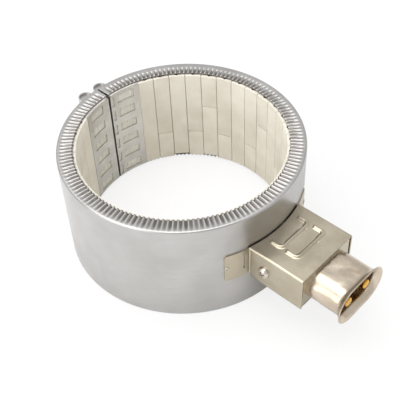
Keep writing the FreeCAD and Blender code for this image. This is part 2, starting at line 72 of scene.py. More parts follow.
sheathLow, sheathHigh = nodeBox("outer_sheath")
plateLow, plateHigh = nodeBox("end_plate_right")
barLow, barHigh = nodeBox("clamp_bar_right")
bodyLow = nodeBox("box_body")[0]
coverBox = nodeBox("box_cover")
socketLow = nodeBox("socket_shell")[0]
mounts = {m["name"]: m for m in frame["record"]["mounts"]}
outerRadius = sheathHigh.x
boreRadius = mounts["barrel_clamp"]["dims"]["r_mm"]
socketMiddle = mounts["contact_pin_right"]["pos_m"][2] / mm
wallFace = 22.6  # outer face of the box's side walls
coverTop = 12.9  # flat top of the cover, below its ribs
coverBandEnd = -74.1  # where the cover's skirts stop at the band
bodyTop = 12.0  # top edge of the box's side walls
dice = random.Random(11)


def hexColour(text):
    parts = [int(text[i:i + 2], 16) / 255 for i in (1, 3, 5)]
    return [c / 12.92 if c <= 0.04045 else ((c + 0.055) / 1.055) ** 2.4 for c in parts] + [1.0]


def addNode(tree, kind, links=None, **settings):
    node = tree.nodes.new(kind)
    for key, value in settings.items():
        setattr(node, key, value)
    for socket, source in (links or {}).items():
        target = node.inputs[socket]
        if isinstance(source, bpy.types.NodeSocket):
            tree.links.new(source, target)
        else:
            target.default_value = source
    return node


def newMaterial(name):
    material = bpy.data.materials.new(name)
    material.use_nodes = True
    tree = material.node_tree
    shader = tree.nodes["Principled BSDF"]
    place = addNode(tree, "ShaderNodeTexCoord").outputs["Object"]
    return material, tree, shader, place


def finishPiece(name, mesh, material, node, smooth=35, body=None):
    # meshes are built in millimetres
    bmesh.ops.remove_doubles(mesh, verts=mesh.verts, dist=0.002)
    bmesh.ops.scale(mesh, verts=mesh.verts, vec=(mm, mm, mm))
    data = bpy.data.meshes.new(name)
    mesh.to_mesh(data)
    mesh.free()
    piece = bpy.data.objects.new(name, data)
    bpy.context.scene.collection.objects.link(piece)
    data.materials.append(material)
    data.shade_smooth()
    data.set_sharp_from_angle(angle=math.radians(smooth))
    nodes = [node] if isinstance(node, str) else list(node)
    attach(piece, body or frame["nodes"][nodes[0]]["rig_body"])
    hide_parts(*nodes)
    return piece


def addSolidify(piece, thickness, offset=-1):
    wall = piece.modifiers.new("wall", "SOLIDIFY")
    wall.thickness = thickness * mm
    wall.offset = offset
    wall.use_even_offset = True
    return wall


def addBevel(piece, width, segments=2, angle=40):
    edge = piece.modifiers.new("edge", "BEVEL")
    edge.width = width * mm
    edge.segments = segments
    edge.limit_method = "ANGLE"
    edge.angle_limit = math.radians(angle)
    edge.harden_normals = True
    return edge


def polar(radius, turn):
    return radius * math.cos(turn), radius * math.sin(turn)


def outline(mesh, points):
    verts = [mesh.verts.new(p) for p in points]
    edges = [mesh.edges.new(pair) for pair in zip(verts, verts[1:])]
    return verts + edges


def arcPoints(centreX, centreY, radius, start, end, count):
    turns = [math.radians(start + (end - start) * i / count) for i in range(count + 1)]
    return [(centreX + radius * math.cos(t), centreY + radius * math.sin(t)) for t in turns]


def lathe(points, steps, origin, axis):
    # points are (along, radius) pairs, spun about an axis through the origin
    mesh = bmesh.new()
    axis = Vector(axis).normalized()
    side = axis.orthogonal().normalized()
    origin = Vector(origin)
    ring = outline(mesh, [origin + axis * a + side * r for a, r in points])
    bmesh.ops.spin(mesh, geom=ring, cent=origin, axis=axis, angle=math.tau, steps=steps, use_merge=True)
    bmesh.ops.remove_doubles(mesh, verts=mesh.verts, dist=0.002)
    bmesh.ops.recalc_face_normals(mesh, faces=mesh.faces)
    return mesh


def joinMesh(mesh, extra):
    data = bpy.data.meshes.new("part")
    extra.to_mesh(data)
    extra.free()
    mesh.from_mesh(data)
    bpy.data.meshes.remove(data)
    return mesh


# finishes

def cylinderPlace(tree, place, aroundScale, upScale):
    # arc length round the bore and height, so that a pattern follows the band
    split = addNode(tree, "ShaderNodeSeparateXYZ", {0: place})
    turn = addNode(tree, "ShaderNodeMath", {0: split.outputs["Y"], 1: split.outputs["X"]},
                   operation="ARCTAN2")
    around = addNode(tree, "ShaderNodeMath", {0: turn.outputs[0], 1: outerRadius * mm * aroundScale},
                     operation="MULTIPLY")
    up = addNode(tree, "ShaderNodeMath", {0: split.outputs["Z"], 1: upScale}, operation="MULTIPLY")
    return addNode(tree, "ShaderNodeCombineXYZ", {0: around.outputs[0], 1: up.outputs[0]}).outputs[0]


# its last two entries set the painted shade that darkens the pleat grooves of the flange
rolledSteel = {"light": "#c3c1bf", "dark": "#b2b0ae", "roughness": 0.34, "grain": 0.5, "waviness": 22,
               "soft": 0.05,
               "paintedGrooveShade": 0.75, "paintedGrooveShadeColour": "#5d554c"}


def makeRolledSteel(name, look):
    # cold-rolled stainless sheet: satin, with fine lines along the rolling direction and soft dents, and
    # painted shade in the pressed pleat grooves
    material, tree, shader, place = newMaterial(name)
    along = cylinderPlace(tree, place, 60, 1000 / look["grain"])
    grain = addNode(tree, "ShaderNodeTexNoise",
                    {"Vector": along, "Scale": 1.0, "Detail": 3.0, "Roughness": 0.6})
    cloud = addNode(tree, "ShaderNodeTexNoise",
                    {"Vector": place, "Scale": 1000 / look["waviness"], "Detail": 2.0})
    mixed = addNode(tree, "ShaderNodeMath", {0: grain.outputs["Fac"], 1: cloud.outputs["Fac"]},
                    operation="MULTIPLY")
    ramp = addNode(tree, "ShaderNodeValToRGB", {0: mixed.outputs[0]})
    ramp.color_ramp.elements[0].position = 0.1
    ramp.color_ramp.elements[0].color = hexColour(look["dark"])
    ramp.color_ramp.elements[1].position = 0.42
    ramp.color_ramp.elements[1].color = hexColour(look["light"])
    # painted shade: the flange's pleat grooves inside the fold are coloured darker by their press depth,
    # standing in for the dark reflections in the pleats
    spot = addNode(tree, "ShaderNodeSeparateXYZ", {0: place})
    height = addNode(tree, "ShaderNodeMath", {0: spot.outputs["Z"]}, operation="ABSOLUTE")
    level = addNode(tree, "ShaderNodeVectorMath", {0: place, 1: (1, 1, 0)}, operation="MULTIPLY")
    reach = addNode(tree, "ShaderNodeVectorMath", {0: level.outputs[0]}, operation="LENGTH")
    inside = addNode(tree, "ShaderNodeMath", {0: reach.outputs["Value"], 1: (outerRadius - 1.5) * mm},
                     operation="LESS_THAN")
    sunk = addNode(tree, "ShaderNodeMapRange",
                   {"Value": height.outputs[0], "From Min": (sheathHigh.z - 0.1) * mm,
                                                "From Max": (sheathHigh.z - 0.8) * mm,
                                                "To Max": look["paintedGrooveShade"]})
    paintedGrooveShade = addNode(tree, "ShaderNodeMath", {0: inside.outputs[0], 1: sunk.outputs[0]}, operation="MULTIPLY")
    grainWithPaintedShade = addNode(tree, "ShaderNodeMix",
                   {0: paintedGrooveShade.outputs[0], 6: ramp.outputs[0], 7: hexColour(look["paintedGrooveShadeColour"])},
                   data_type="RGBA")  # painted shade: the press marks are darkened, standing in for their dark reflections
    tree.links.new(grainWithPaintedShade.outputs[2], shader.inputs["Base Color"])
    shine = addNode(tree, "ShaderNodeMapRange",
                    {"Value": grain.outputs["Fac"], "To Min": look["roughness"] - 0.05,
                                                 "To Max": look["roughness"] + 0.08})
    tree.links.new(shine.outputs[0], shader.inputs["Roughness"])
    fine = addNode(tree, "ShaderNodeBump",
                   {"Height": grain.outputs["Fac"], "Strength": 0.06, "Distance": 0.05 * mm})
    soft = addNode(tree, "ShaderNodeBump", {"Height": cloud.outputs["Fac"], "Normal": fine.outputs[0],
                                            "Strength": look["soft"], "Distance": 2 * mm})
    tree.links.new(soft.outputs[0], shader.inputs["Normal"])
    shader.inputs["Metallic"].default_value = 1.0
    return material


steatite = {"light": "#e6e1d5", "dark": "#d9d3c5", "roughness": 0.72, "cloud": 14, "pit": 0.45}


def makeSteatite(name, look):
    # unglazed fired steatite: cream, dull, finely pitted, a little darker in patches
    material, tree, shader, place = newMaterial(name)
    cloud = addNode(tree, "ShaderNodeTexNoise",
                    {"Vector": place, "Scale": 1000 / look["cloud"], "Detail": 4.0})
    ramp = addNode(tree, "ShaderNodeValToRGB", {0: cloud.outputs["Fac"]})
    ramp.color_ramp.elements[0].position = 0.3
    ramp.color_ramp.elements[0].color = hexColour(look["dark"])
    ramp.color_ramp.elements[1].position = 0.7
    ramp.color_ramp.elements[1].color = hexColour(look["light"])
    tree.links.new(ramp.outputs[0], shader.inputs["Base Color"])
    pits = addNode(tree, "ShaderNodeTexNoise", {"Vector": place, "Scale": 1000 / look["pit"], "Detail": 2.0})
    bump = addNode(tree, "ShaderNodeBump",
                   {"Height": pits.outputs["Fac"], "Strength": 0.25, "Distance": 0.1 * mm})
    tree.links.new(bump.outputs[0], shader.inputs["Normal"])
    shader.inputs["Roughness"].default_value = look["roughness"]
    return material


nickel = {"light": "#c6bdaa", "dark": "#b5ab97", "roughness": 0.24, "cloud": 18, "wave": 11, "depth": 0.10}


def makeNickel(name, look):
    # nickel-plated sheet: warm grey, softly bright, its surface gently uneven under the plating
    material, tree, shader, place = newMaterial(name)
    cloud = addNode(tree, "ShaderNodeTexNoise",
                    {"Vector": place, "Scale": 1000 / look["cloud"], "Detail": 3.0})
    ramp = addNode(tree, "ShaderNodeValToRGB", {0: cloud.outputs["Fac"]})
    ramp.color_ramp.elements[0].position = 0.3
    ramp.color_ramp.elements[0].color = hexColour(look["dark"])
    ramp.color_ramp.elements[1].position = 0.7
    ramp.color_ramp.elements[1].color = hexColour(look["light"])
    tree.links.new(ramp.outputs[0], shader.inputs["Base Color"])
    wave = addNode(tree, "ShaderNodeTexNoise",
                   {"Vector": place, "Scale": 1000 / look["wave"], "Detail": 1.0})
    bump = addNode(tree, "ShaderNodeBump", {"Height": wave.outputs["Fac"], "Strength": look["depth"],
                                            "Distance": 1.5 * mm})
    tree.links.new(bump.outputs[0], shader.inputs["Normal"])
    smear = addNode(tree, "ShaderNodeMapRange",
                    {"Value": cloud.outputs["Fac"], "To Min": look["roughness"] - 0.05,
                                                 "To Max": look["roughness"] + 0.1})
    tree.links.new(smear.outputs[0], shader.inputs["Roughness"])
    shader.inputs["Metallic"].default_value = 1.0
    return material


turnedMetal = {"brass": ("#d9a33a", 0.18), "plated": ("#cdc6bc", 0.22), "bar": ("#c9c7c3", 0.3)}


def makeTurnedMetal(name, colour, roughness):
    # turned and plated small parts: bright, with fine tool marks
    material, tree, shader, place = newMaterial(name)
    marks = addNode(tree, "ShaderNodeTexNoise", {"Vector": place, "Scale": 1000 / 0.6, "Detail": 2.0})
    bump = addNode(tree, "ShaderNodeBump",
                   {"Height": marks.outputs["Fac"], "Strength": 0.08, "Distance": 0.05 * mm})
    tree.links.new(bump.outputs[0], shader.inputs["Normal"])
    tone = addNode(tree, "ShaderNodeHueSaturation", {"Color": hexColour(colour), "Value": 1.0})
    shade = addNode(tree, "ShaderNodeMapRange",
                    {"Value": marks.outputs["Fac"], "To Min": 0.94, "To Max": 1.04})
    tree.links.new(shade.outputs[0], tone.inputs["Value"])
    tree.links.new(tone.outputs[0], shader.inputs["Base Color"])
    shader.inputs["Roughness"].default_value = roughness
    shader.inputs["Metallic"].default_value = 1.0
    return material


fibre = {"light": "#efece4", "dark": "#d9d4c8", "thread": 0.9}


def makeFibre(name, look):
    # felted or braided glass and ceramic fibre: white, matt, fuzzy
    material, tree, shader, place = newMaterial(name)
    felt = addNode(tree, "ShaderNodeTexNoise",
                   {"Vector": place, "Scale": 1000 / look["thread"], "Detail": 6.0})
    ramp = addNode(tree, "ShaderNodeValToRGB", {0: felt.outputs["Fac"]})
    ramp.color_ramp.elements[0].color = hexColour(look["dark"])
    ramp.color_ramp.elements[1].color = hexColour(look["light"])
    tree.links.new(ramp.outputs[0], shader.inputs["Base Color"])
    bump = addNode(tree, "ShaderNodeBump",
                   {"Height": felt.outputs["Fac"], "Strength": 0.6, "Distance": 0.4 * mm})
    tree.links.new(bump.outputs[0], shader.inputs["Normal"])
    shader.inputs["Roughness"].default_value = 0.95
    return material


sheathSteel = makeRolledSteel("rolledStainlessSheath", rolledSteel)
plateSteel = makeRolledSteel("rolledStainlessPlate",
                             dict(rolledSteel, light="#d3d2ce", dark="#bfbdb8", waviness=9, paintedGrooveShade=0))
lugSteel = makeRolledSteel("rolledStainlessLug", dict(rolledSteel, light="#c9c8c5", dark="#aeadaa", paintedGrooveShade=0))
tileCeramic = makeSteatite("unglazedSteatiteTile", steatite)
endCeramic = makeSteatite("unglazedSteatiteEnd", dict(steatite, light="#e6e4dc", dark="#d6d3c8"))
socketCeramic = makeSteatite("unglazedCeramicInsert", dict(steatite, light="#cfc5ad", dark="#b9ad92"))
boxNickel = makeNickel("nickelPlatedBox", nickel)
socketNickel = makeNickel("nickelPlatedSocket",
                          dict(nickel, light="#d2c6b5", dark="#bcae9b", wave=7, depth=0.22))
pinBrass = makeTurnedMetal("turnedBrass", *turnedMetal["brass"])
screwSteel = makeTurnedMetal("brightPlatedSteel", *turnedMetal["plated"])
barSteel = makeTurnedMetal("drawnSteelBar", *turnedMetal["bar"])
coilWire = makeTurnedMetal("oxidisedResistanceWire", "#77706a", 0.5)
blanketFelt = makeFibre("ceramicFibreFelt", fibre)
leadSleeve = makeFibre("glassFibreSleeve", dict(fibre, light="#e9e2cf", dark="#cfc6ae", thread=0.6))
print("finishes made")

# sheath: one sheet, both edges folded in and pressed into pleats

sheath = {"sheet": 0.5, "fold": 1.2, "flange": 10.4, "pleats": 148, "freeAngle": 2.4, "stepsPerPleat": 8,
          "depth": 1.0, "rings": 9, "wallRings": 8, "gap": 1.5, "uneven": 0.2, "pullBack": 0.35,
          "rimNear": 0.7, "rimFar": 3.6, "farSide": 45}


def pleatPress(turn, radius, unevenness):
    # share of the full press depth at one place on the flange; the far side was pressed less deeply
    free = math.radians(sheath["freeAngle"])
    share = (turn - free) / (math.tau - 2 * free) * sheath["pleats"]
    if share < 0 or share > sheath["pleats"]:
        return 0.0
    index = min(int(share), sheath["pleats"] - 1)
    away = 0.5 + 0.5 * math.cos(turn + math.pi / 2 - math.radians(sheath["farSide"]))
    rim = sheath["rimNear"] + (sheath["rimFar"] - sheath["rimNear"]) * away ** 3
    start = outerRadius - sheath["fold"] - rim
    reach = (start - radius) / (start - (outerRadius - sheath["flange"]))
    reach = max(0.0, min(1.0, reach))
    groove = 0.5 + 0.5 * math.cos(math.tau * (share - index - 0.5))
    return groove * (1 - (1 - reach) ** 2.8) * unevenness[index]


def buildSheath():
    low, high = sheathLow.z, sheathHigh.z
    fold, rings, wallRings = sheath["fold"], sheath["rings"], sheath["wallRings"]
    inner, flat = outerRadius - sheath["flange"], outerRadius - fold
    flange = [inner + (flat - inner) * i / rings for i in range(rings)]
    lowBend = arcPoints(flat, low + fold, fold, -90, 0, 5)
    highBend = arcPoints(flat, high - fold, fold, 0, 90, 5)
    wall = [(outerRadius, low + fold + (high - low - 2 * fold) * i / wallRings) for i in range(1, wallRings)]
    section = [(r, low) for r in flange] + lowBend + wall + highBend + [(r, high) for r in reversed(flange)]
    halfGap = math.asin(sheath["gap"] / 2 / outerRadius)
    mesh = bmesh.new()
    start = Matrix.Rotation(math.pi / 2 + halfGap, 3, "Z")
    ring = outline(mesh, [start @ Vector((r, 0, z)) for r, z in section])
    bmesh.ops.spin(mesh, geom=ring, cent=(0, 0, 0), axis=(0, 0, 1), angle=math.tau - 2 * halfGap,
                   steps=sheath["pleats"] * sheath["stepsPerPleat"], use_merge=False)
    unevenness = [[1 + dice.uniform(-1, 1) * sheath["uneven"] for i in range(sheath["pleats"])]
                  for k in range(2)]
    for vert in mesh.verts:
        radius = math.hypot(vert.co.x, vert.co.y)
        turn = (math.atan2(vert.co.y, vert.co.x) - math.pi / 2) % math.tau
        onTop = vert.co.z > (low + high) / 2
        press = pleatPress(turn, radius, unevenness[int(onTop)])
        if press > 0 and radius < flat:
            vert.co.z -= press * sheath["depth"] * (1 if onTop else -1)
            vert.co.xy *= 1 + press * sheath["pullBack"] / radius
        if vert.co.y > 0 and abs(vert.co.x) < 4 and radius < outerRadius:
            vert.co.x = math.copysign(max(abs(vert.co.x), sheath["gap"] / 2), vert.co.x)
    bmesh.ops.recalc_face_normals(mesh, faces=mesh.faces)
    if sum(f.normal.dot(f.calc_center_median()) for f in mesh.faces) < 0:
        bmesh.ops.reverse_faces(mesh, faces=mesh.faces)
    piece = finishPiece("pleatedSheath", mesh, sheathSteel, "outer_sheath", smooth=60)
    addSolidify(piece, sheath["sheet"])


buildSheath()
print("sheath built")

# ceramic tiles: cream blocks in columns round the bore

tile = {"edge": 0.3, "uneven": 0.10, "endUneven": 0.3, "slices": 6, "shortFoot": {3: 1.5, 5: 1.1}}


def ceramicBlock(low, high, middle, halfTurn, depth, inner):
    block = bmesh.new()
    bmesh.ops.create_cube(block, size=1.0)
    width = 2 * halfTurn * boreRadius
    place = Matrix.Translation((0, inner + depth / 2, (low + high) / 2))
    shape = place @ Matrix.Diagonal((width, depth, high - low, 1))
    bmesh.ops.transform(block, matrix=shape, verts=block.verts)
    bmesh.ops.bevel(block, geom=block.edges[:], offset=tile["edge"], offset_type="OFFSET", segments=2,
                    profile=0.5, affect="EDGES", material=-1)
    for i in range(1, tile["slices"]):
        cut = width * (i / tile["slices"] - 0.5)
        bmesh.ops.bisect_plane(block, geom=block.verts[:] + block.edges[:] + block.faces[:], dist=0.0001,
                               plane_co=(cut, 0, 0), plane_no=(1, 0, 0))
    for vert in block.verts:
        vert.co.xy = polar(vert.co.y, middle - vert.co.x / boreRadius)
    return block


def tileEnds(node):
    # heights of the ends of every tile in one column, read from the frame's mesh
    levels = sorted({round(v.co.z / mm, 2) for v in node.data.vertices})
    low, high = levels[0], levels[-1]
    inside = [z for z in levels if low + 10 < z < high - 10]
    return [(low, inside[0]), (inside[-1], high)] if inside else [(low, high)]


def columnSpan(node):
    turns = [math.atan2(v.co.y, v.co.x) for v in node.data.vertices]
    if max(turns) - min(turns) > math.pi:
        turns = [t % math.tau for t in turns]
    return (max(turns) + min(turns)) / 2, (max(turns) - min(turns)) / 2


def buildTiles():
    names = sorted(n for n in frame["nodes"] if n.startswith("tile_column"))
    for count, name in enumerate(names, start=1):
        node = frame["nodes"][name]
        middle, halfTurn = columnSpan(node)
        depth = max(math.hypot(v.co.x, v.co.y) for v in node.data.vertices) / mm - boreRadius
        mesh = bmesh.new()
        for low, high in tileEnds(node):
            inset = dice.uniform(0, tile["uneven"])
            if low < -30:
                low += dice.uniform(0, tile["endUneven"]) + tile["shortFoot"].get(count, 0)
            if high > 30:
                high -= dice.uniform(0, tile["endUneven"])
            joinMesh(mesh, ceramicBlock(low, high, middle, halfTurn, depth - inset, boreRadius + inset))
        bmesh.ops.recalc_face_normals(mesh, faces=mesh.faces)
        finishPiece("ceramicTiles%02d" % count, mesh, tileCeramic, name, smooth=30)


buildTiles()
print("tiles built")

# end plates beside the gap: windowed sheet on the bore, folded up along the gap

plate = {"sheet": 0.8, "halfAngle": 20.4, "windowStart": 5.8, "windowEnd": 16.8, "windowHeight": 6.3,
         "rows": 6, "margin": 2.2, "slotStart": 1.1, "slotWidth": 1.9, "slotHeight": 7.6, "bend": 0.5,
         "slices": 12}


def windowLevels():
    low, high = plateLow.z + plate["margin"], plateHigh.z - plate["margin"]
    pitch = (high - low - plate["windowHeight"]) / (plate["rows"] - 1)
    middle = (low + high) / 2
    return [middle + pitch * (i - (plate["rows"] - 1) / 2) for i in range(plate["rows"])]


def cutLines(mesh, places, direction):
    for place in places:
        bmesh.ops.bisect_plane(mesh, geom=mesh.verts[:] + mesh.edges[:] + mesh.faces[:], dist=0.0001,
                               plane_co=Vector(direction) * place, plane_no=direction)


def cutHoles(mesh, holes):
    # holes are (x0, x1, z0, z1) in the flat sheet
    gone = []
    for face in mesh.faces:
        centre = face.calc_center_median()
        if any(x0 < centre.x < x1 and z0 < centre.z < z1 for x0, x1, z0, z1 in holes):
            gone.append(face)
    bmesh.ops.delete(mesh, geom=gone, context="FACES")


def flatSheet(x0, x1, z0, z1):
    mesh = bmesh.new()
    bmesh.ops.create_grid(mesh, x_segments=1, y_segments=1, size=0.5)
    place = Matrix.Translation(((x0 + x1) / 2, 0, (z0 + z1) / 2)) @ Matrix.Rotation(math.pi / 2, 4, "X")
    bmesh.ops.transform(mesh, matrix=place @ Matrix.Diagonal((x1 - x0, z1 - z0, 1, 1)), verts=mesh.verts)
    return mesh


def buildEndPlate(side, word):
    degree = math.radians(1) * boreRadius
    corner = plateLow.x
    wallLength = plateHigh.y - math.sqrt(boreRadius ** 2 - corner ** 2)
    edge = plate["halfAngle"] * degree
    mesh = flatSheet(corner - wallLength, edge, plateLow.z, plateHigh.z)
    first, last = plate["windowStart"] * degree, plate["windowEnd"] * degree
    slot = corner + plate["slotStart"], corner + plate["slotStart"] + plate["slotWidth"]
    holes = []
    for z in windowLevels():
        half = plate["windowHeight"] / 2
        holes.append((first, last, z - half, z + half))
        if side > 0:
            holes.append((*slot, z - plate["slotHeight"] / 2, z + plate["slotHeight"] / 2))
    cutLines(mesh, sorted({v for x0, x1, z0, z1 in holes for v in (x0, x1)}), (1, 0, 0))
    cutLines(mesh, sorted({v for x0, x1, z0, z1 in holes for v in (z0, z1)}), (0, 0, 1))
    cutLines(mesh, [edge * (i + 0.5) / plate["slices"] for i in range(plate["slices"])], (1, 0, 0))
    cutLines(mesh, [corner - plate["bend"], corner, corner + plate["bend"]], (1, 0, 0))
    cutHoles(mesh, holes)
    for vert in mesh.verts:
        along = vert.co.x
        if along > corner:
            x, y = polar(boreRadius, math.pi / 2 - along / boreRadius)
        else:
            x, y = corner, math.sqrt(boreRadius ** 2 - corner ** 2) + corner - along
        vert.co.x, vert.co.y = side * x, y
    if side < 0:
        bmesh.ops.reverse_faces(mesh, faces=mesh.faces)
    piece = finishPiece(word + "EndPlate", mesh, plateSteel, "end_plate_" + word, smooth=40)
    addSolidify(piece, plate["sheet"], offset=-1)
    addBevel(piece, 0.15)


buildEndPlate(-1, "left")
buildEndPlate(1, "right")

# ceramic behind the end plates, with a row of rounded beads in each window

bead = {"perWindow": 3, "width": 2.6, "sink": 0.2, "endGap": 0.3, "round": 0.9, "backRadius": 72.5}


def buildEndCeramic(side, word):
    inner = boreRadius + plate["sheet"]
    first = math.asin((plateLow.x + plate["sheet"]) / inner)
    last = math.radians(plate["halfAngle"] - 0.1)
    halfTurn = (last - first) / 2
    middle = math.pi / 2 - side * (first + last) / 2
    mesh = ceramicBlock(plateLow.z, plateHigh.z, middle, halfTurn, bead["backRadius"] - inner, inner)
    spacing = (plate["windowEnd"] - plate["windowStart"]) / bead["perWindow"]
    for z in windowLevels():
        for i in range(bead["perWindow"]):
            turn = math.pi / 2 - side * math.radians(plate["windowStart"] + spacing * (i + 0.5))
            place = Matrix.Translation((*polar(boreRadius + bead["sink"] + bead["width"] / 2, turn), z))
            height = plate["windowHeight"] - 2 * bead["endGap"]
            rod = bmesh.new()
            bmesh.ops.create_cone(rod, cap_ends=True, segments=20, radius1=bead["width"] / 2,
                                  radius2=bead["width"] / 2, depth=height, matrix=place)
            ends = [e for e in rod.edges if abs(e.verts[0].co.z - e.verts[1].co.z) < 0.01]
            bmesh.ops.bevel(rod, geom=ends, offset=bead["round"], offset_type="OFFSET", segments=3,
                            profile=0.5, affect="EDGES", material=-1)
            joinMesh(mesh, rod)
    bmesh.ops.recalc_face_normals(mesh, faces=mesh.faces)
    finishPiece(word + "EndCeramic", mesh, endCeramic, "end_ceramic_" + word, smooth=30)


buildEndCeramic(-1, "left")
buildEndCeramic(1, "right")
print("end plates built")

# clamp lugs: straps on the sheath, their ends rolled into eyes round the bars

lug = {"sheet": 0.8, "angle": 26, "eye": 9.5, "eyeOffset": 6.5, "slit": 8, "hole": 6.2, "height": 65,
       "corner": 3}
eyeReach = (barHigh.y + barLow.y) / 2
screwLevels = [(low.z + high.z) / 2 for low,
               high in (nodeBox("clamp_screw_lower"), nodeBox("clamp_screw_upper"))]


def buildLug(side, word):
    inside = outerRadius + lug["sheet"] / 2
    eyeRadius = (lug["eye"] - lug["sheet"]) / 2
    eyeTurn = math.atan2(eyeReach, lug["eyeOffset"])
    start = math.radians(90 - lug["angle"])
    strap = [polar(inside, start + (eyeTurn - start) * i / 16) for i in range(17)]
    rollStart = -115
    roll = arcPoints(lug["eyeOffset"], eyeReach, eyeRadius, rollStart + lug["slit"], rollStart + 350, 32)
    mesh = bmesh.new()
    half = lug["height"] / 2
    for path in (strap, roll):
        line = outline(mesh, [(x, y, -half) for x, y in path])
        edges = [g for g in line if isinstance(g, bmesh.types.BMEdge)]
        raised = bmesh.ops.extrude_edge_only(mesh, edges=edges)["geom"]
        bmesh.ops.translate(mesh, verts=[g for g in raised if isinstance(g, bmesh.types.BMVert)],
                            vec=(0, 0, lug["height"]))
    holes = [(z - lug["hole"] / 2, z + lug["hole"] / 2) for z in screwLevels]
    cutLines(mesh, [v for pair in holes for v in pair], (0, 0, 1))
    gone = []
    for face in mesh.faces:
        centre = face.calc_center_median()
        inRow = any(low < centre.z < high for low, high in holes)
        if inRow and abs(centre.y - eyeReach) < lug["hole"] / 2 and centre.x > 1:
            gone.append(face)
    bmesh.ops.delete(mesh, geom=gone, context="FACES")
    bmesh.ops.recalc_face_normals(mesh, faces=mesh.faces)
    if side < 0:
        bmesh.ops.scale(mesh, verts=mesh.verts, vec=(-1, 1, 1))
        bmesh.ops.reverse_faces(mesh, faces=mesh.faces)
    piece = finishPiece(word + "ClampLug", mesh, lugSteel, "clamp_lug_" + word, smooth=40)
    addSolidify(piece, lug["sheet"], offset=0)
    addBevel(piece, 0.15)


buildLug(-1, "left")
buildLug(1, "right")

# clamp screws: socket heads with a knurled rim, threads on the shank

screw = {"head": 8.5, "headHeight": 5, "key": 4, "keyDepth": 2.6, "shank": 5, "pitch": 0.8, "thread": 0.35,
         "plain": 10, "knurls": 36}


def buildScrew(node, word):
    low, high = nodeBox(node)
    y, z = (low.y + high.y) / 2, (low.z + high.z) / 2
    head, shank = screw["head"] / 2, screw["shank"] / 2
    seat = low.x + screw["headHeight"]
    mesh = bmesh.new()
    side = Matrix.Translation((low.x, y, z)) @ Matrix.Rotation(math.pi / 2, 4, "Y")
    rim = bmesh.ops.create_circle(mesh, segments=screw["knurls"] * 2, radius=head - 0.5,
                                  matrix=side)["verts"]
    corner = screw["key"] / 2 / math.cos(math.pi / 6)
    key = bmesh.ops.create_circle(mesh, segments=6, radius=corner, matrix=side)["verts"]
    rimEdges = list({e for v in rim for e in v.link_edges})
    keyEdges = list({e for v in key for e in v.link_edges})
    bmesh.ops.bridge_loops(mesh, edges=rimEdges + keyEdges)
    sunk = bmesh.ops.extrude_edge_only(mesh, edges=keyEdges)["geom"]
    sunkVerts = [g for g in sunk if isinstance(g, bmesh.types.BMVert)]
    bmesh.ops.translate(mesh, verts=sunkVerts, vec=(screw["keyDepth"], 0, 0))
    bmesh.ops.contextual_create(mesh, geom=[g for g in sunk if isinstance(g, bmesh.types.BMEdge)])
    threads = []
    x = seat + screw["plain"]
    while x < high.x - screw["pitch"]:
        threads += [(x, shank - screw["thread"]), (x + screw["pitch"] / 2, shank)]
        x += screw["pitch"]
    profile = [(0, head - 0.5), (0.5, head), (screw["headHeight"], head), (screw["headHeight"], shank)]
    profile += [(t - low.x, r) for t, r in [(seat + screw["plain"] - 0.1, shank)] + threads]
    profile += [(high.x - low.x - 0.4, shank), (high.x - low.x, shank - 0.5), (high.x - low.x, 0)]
    turned = lathe(profile, screw["knurls"] * 2, (low.x, y, z), (1, 0, 0))
    for vert in turned.verts:
        ring = Vector((vert.co.y - y, vert.co.z - z))
        if vert.co.x - low.x < screw["headHeight"] - 0.01 and ring.length > head - 0.1:
            count = round(math.atan2(ring.y, ring.x) / math.tau * screw["knurls"] * 2)
            if count % 2:
                vert.co.y, vert.co.z = y + ring.x * 0.965, z + ring.y * 0.965
    joinMesh(mesh, turned)
    bmesh.ops.remove_doubles(mesh, verts=mesh.verts, dist=0.01)
    bmesh.ops.recalc_face_normals(mesh, faces=mesh.faces)
    finishPiece(word + "ClampScrew", mesh, screwSteel, node, smooth=35)


buildScrew("clamp_screw_lower", "lower")
buildScrew("clamp_screw_upper", "upper")
print("clamp built")

# terminal box: floor, end wall and two sides bent out into tabs that lie on the sheath

box = {"floorHalf": 21.0, "sheet": 0.8, "endDrop": 1.2, "coverGap": 0.1, "tabInset": 1.2, "tabTop": 0.3,
       "bend": 1.6, "tabEnd": 29.0,
       "corner": 2.0, "slitAngle": 19.7, "slitWidth": 1.0, "slitRise": 7.7, "slitHead": 3.0}


def stadium(width, height, y, middle, count=24):
    radius = height / 2
    half = width / 2 - radius
    right = arcPoints(half, middle, radius, -90, 90, count)
    left = arcPoints(-half, middle, radius, 90, 270, count)
    flat = [(half - 2 * half * i / 8, middle + radius) for i in range(1, 8)]
    floor = [(-half + 2 * half * i / 8, middle - radius) for i in range(1, 8)]
    return [(x, y, z) for x, z in right + flat + left + floor]


def loop(mesh, points):
    verts = [mesh.verts.new(p) for p in points]
    return [mesh.edges.new((a, b)) for a, b in zip(verts, verts[1:] + verts[:1])]


def wallPlate(points, hole):
    mesh = bmesh.new()
    edges = loop(mesh, points) + loop(mesh, hole)
    bmesh.ops.triangle_fill(mesh, use_beauty=True, use_dissolve=False, edges=edges)
    if sum(f.normal.y * f.calc_area() for f in mesh.faces) > 0:
        bmesh.ops.reverse_faces(mesh, faces=mesh.faces)
    return mesh


def boxFloor():
    half = box["floorHalf"]
    mesh = bmesh.new()
    bmesh.ops.create_grid(mesh, x_segments=24, y_segments=2, size=0.5)
    for vert in mesh.verts:
        x = vert.co.x * 2 * half
        share = vert.co.y + 0.5
        reach = -math.sqrt(outerRadius ** 2 - x * x)
        vert.co = (x, bodyLow.y + share * (reach - bodyLow.y), bodyLow.z)
    bmesh.ops.reverse_faces(mesh, faces=mesh.faces)
    return mesh


